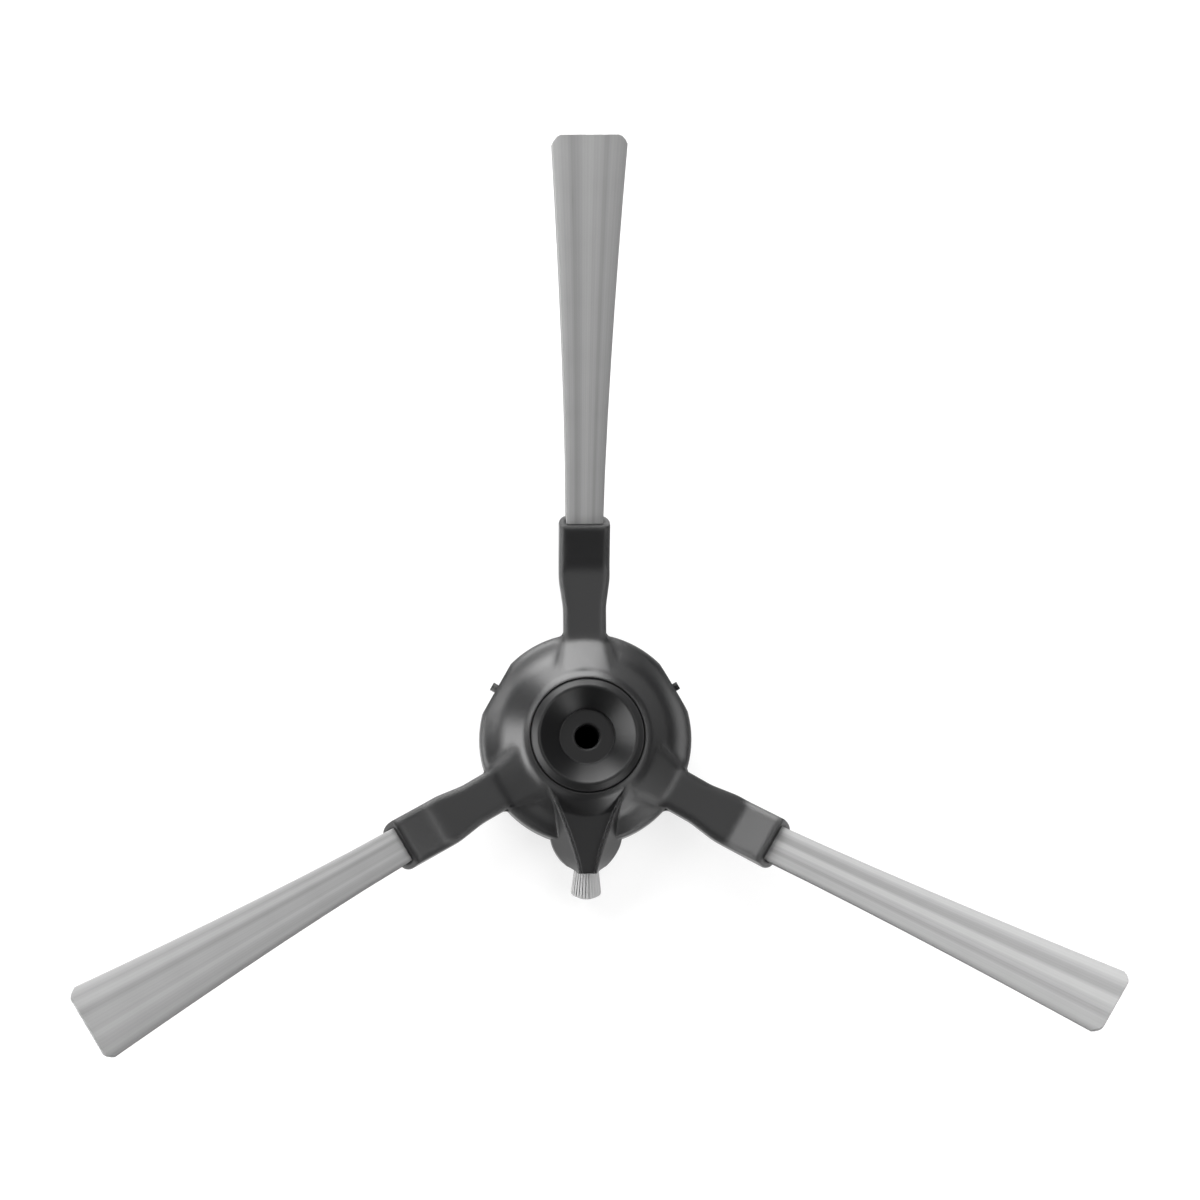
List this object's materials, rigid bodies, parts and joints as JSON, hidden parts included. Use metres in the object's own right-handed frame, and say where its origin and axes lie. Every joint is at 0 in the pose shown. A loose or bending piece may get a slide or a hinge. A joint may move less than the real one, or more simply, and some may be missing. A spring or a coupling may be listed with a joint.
{
  "type": "robot vacuum side brush",
  "caption": "Edge-sweeping side brush for a floor cleaning robot: a bell-shaped hub with angled arms, each holding a flat fan of bristles, screwed to a motor spindle.",
  "frame": {"origin": "on the spindle axis at the end of the drive boss, where the spindle enters", "axes": "+Z along the spindle towards the floor being swept, the side the picture shows; +Y along the first arm"},
  "size_m": [0.1525, 0.1332, 0.0296],
  "materials": {
    "hub_plastic": "satin",
    "core_plastic": "semi-gloss",
    "bristles": "fine filaments"
  },
  "bodies": {
    "root": {"hub_moulding": "hub_plastic", "drive_core": "core_plastic", "long_tuft_1": "bristles", "long_tuft_2": "bristles", "long_tuft_3": "bristles", "short_tuft": "bristles"}
  },
  "joints": []
}
